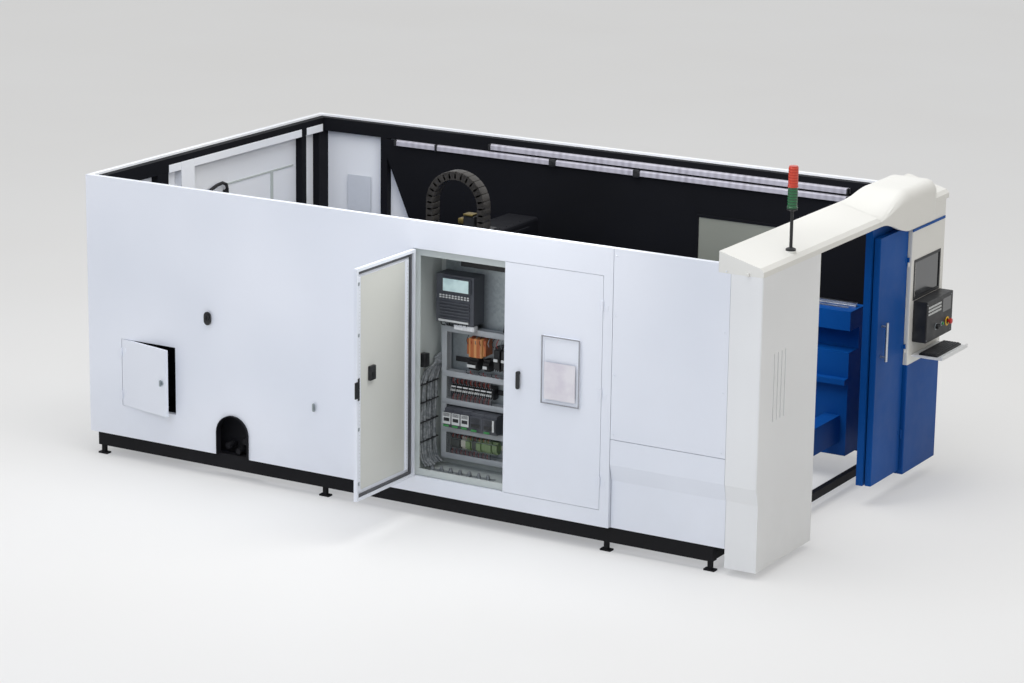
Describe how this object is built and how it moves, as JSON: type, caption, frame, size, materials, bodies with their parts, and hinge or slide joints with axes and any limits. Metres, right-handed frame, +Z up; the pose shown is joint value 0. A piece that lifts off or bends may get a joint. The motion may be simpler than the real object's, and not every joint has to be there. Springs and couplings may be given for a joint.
{
  "type": "fiber laser cutting machine",
  "caption": "Enclosed flat bed fiber laser cutter: open-topped white walls, blue sliding door, console, cabinet with open door, gantry and pallet.",
  "frame": {"origin": "on the floor below the middle of the whole machine's box, cabinet door open", "axes": "+X along the bed to the operator's front, +Y away from the electrical cabinet, +Z up"},
  "size_m": [5.67, 3.7778, 2.68],
  "materials": {
    "white_paint": "fine orange-peel powder coat, satin",
    "warm_white_paint": "satin powder coat",
    "blue_paint": "satin powder coat",
    "black_paint": "satin",
    "cabinet_grey_paint": "textured powder coat",
    "amber_glass": "polished",
    "screen_glass": "gloss",
    "bright_steel": "ground",
    "zinc_steel": "zinc plated",
    "duct_plastic": "matt",
    "black_plastic": "matt",
    "drive_grey": "matt",
    "orange_winding": "matt",
    "terminal_green": "matt",
    "white_plastic": "satin",
    "green_lens": "gloss",
    "red_lens": "gloss",
    "lamp_diffuser": "satin",
    "red_plastic": "gloss",
    "green_plastic": "gloss",
    "copper": "machined copper",
    "mill_steel": "mill finish with rust and spatter"
  },
  "bodies": {
    "machine": {"near_wall": "white_paint", "near_front_panel": "white_paint", "near_lower_panel": "white_paint", "far_wall": "white_paint", "rear_wall": "white_paint", "front_column": "warm_white_paint", "header_beam": "warm_white_paint", "header_hood": "warm_white_paint", "console_panel": "warm_white_paint", "console_base": "blue_paint", "machine_bed": "blue_paint", "enclosure_frame": "black_paint", "lining_panel": "black_paint", "cabinet_box": "cabinet_grey_paint", "console_screen": "screen_glass", "laser_source": "bright_steel", "x_rail_near": "bright_steel", "x_rail_far": "bright_steel", "mounting_plate": "zinc_steel", "levelling_foot_1": "zinc_steel", "levelling_foot_2": "zinc_steel", "levelling_foot_3": "zinc_steel", "levelling_foot_4": "zinc_steel", "wire_ducts": "duct_plastic", "operator_panel": "black_plastic", "tower_pole": "black_plastic", "contactor_row": "black_plastic", "breaker_row": "black_plastic", "controller_unit": "drive_grey", "servo_drives": "drive_grey", "transformer": "orange_winding", "terminal_row": "terminal_green", "tower_green_lamp": "green_lens", "tower_red_lamp": "red_lens", "lamp_strip_low": "lamp_diffuser", "lamp_strip_high": "lamp_diffuser"},
    "gantry": {"gantry_beam": "black_paint"},
    "saddle": {"carriage": "black_plastic", "chain_arch": "black_plastic"},
    "head": {"cutting_head": "zinc_steel", "nozzle": "copper"},
    "pallet": {"cutting_pallet": "mill_steel"},
    "door": {"sliding_door": "blue_paint", "sliding_window": "amber_glass", "flush_pull": "black_plastic"},
    "leaf": {"far_leaf": "blue_paint", "leaf_handle": "bright_steel"},
    "left_door": {"cabinet_door_left": "white_paint"},
    "left_lever": {"left_door_handle": "black_plastic"},
    "right_door": {"cabinet_door_right": "white_paint", "vent_grille": "white_paint"},
    "right_lever": {"right_door_handle": "black_plastic"},
    "hatch": {"service_hatch": "white_paint"},
    "latch": {"hatch_latch": "black_plastic"},
    "tray": {"keyboard_tray": "white_plastic", "keyboard": "black_plastic"},
    "stop": {"e_stop": "red_plastic"},
    "start": {"start_button": "green_plastic"},
    "knob": {"override_knob": "black_plastic"}
  },
  "joints": [
    {"name": "gantry_travel", "type": "slide", "parent": "machine", "child": "gantry", "axis": [1, 0, 0], "range_m": [-1.58, 2.48]},
    {"name": "cross_travel", "type": "slide", "parent": "gantry", "child": "saddle", "axis": [0, 1, 0], "range_m": [-0.755, 0.755]},
    {"name": "head_lift", "type": "slide", "parent": "saddle", "child": "head", "axis": [0, 0, -1], "range_m": [0, 0.11]},
    {"name": "pallet_exchange", "type": "slide", "parent": "machine", "child": "pallet", "axis": [-1, 0, 0], "range_m": [0, 3.2]},
    {"name": "door_slide", "type": "slide", "parent": "machine", "child": "door", "axis": [0, -1, 0], "range_m": [0, 1.0295]},
    {"name": "leaf_swing", "type": "hinge", "parent": "machine", "child": "leaf", "pos_m": [2.573, 1.2506, 0.15], "axis": [0, 0, 1], "range_deg": [0, 90]},
    {"name": "left_door_swing", "type": "hinge", "parent": "machine", "child": "left_door", "pos_m": [-0.0465, -1.1589, 0.298], "axis": [0, 0, 1], "range_deg": [-30, 90]},
    {"name": "left_handle_turn", "type": "hinge", "parent": "left_door", "child": "left_lever", "pos_m": [-0.0465, -1.7704, 1.155], "axis": [1, 0, 0], "range_deg": [0, 90]},
    {"name": "right_door_swing", "type": "hinge", "parent": "machine", "child": "right_door", "pos_m": [1.4365, -1.1589, 0.298], "axis": [0, 0, 1], "range_deg": [0, 120]},
    {"name": "right_handle_turn", "type": "hinge", "parent": "right_door", "child": "right_lever", "pos_m": [0.805, -1.1589, 1.155], "axis": [0, 1, 0], "range_deg": [0, 90]},
    {"name": "hatch_swing", "type": "hinge", "parent": "machine", "child": "hatch", "pos_m": [-2.5365, -1.1589, 0.42], "axis": [0, 0, 1], "range_deg": [-95, 12]},
    {"name": "latch_turn", "type": "hinge", "parent": "hatch", "child": "latch", "pos_m": [-2.11345, -1.24882, 0.6675], "axis": [0.2079, 0.9781, 0], "range_deg": [0, 90]},
    {"name": "tray_fold", "type": "hinge", "parent": "machine", "child": "tray", "pos_m": [2.6033, 0.3689, 0.99], "axis": [0, 1, 0], "range_deg": [0, 90]},
    {"name": "stop_press", "type": "slide", "parent": "machine", "child": "stop", "axis": [-1, 0, 0], "range_m": [0, 0.005], "stiffness_N_per_m": 600},
    {"name": "start_press", "type": "slide", "parent": "machine", "child": "start", "axis": [-1, 0, 0], "range_m": [0, 0.004], "stiffness_N_per_m": 400},
    {"name": "knob_turn", "type": "hinge", "parent": "machine", "child": "knob", "pos_m": [2.705, 1.5086, 1.18], "axis": [1, 0, 0], "range_deg": [-150, 150]}
  ]
}
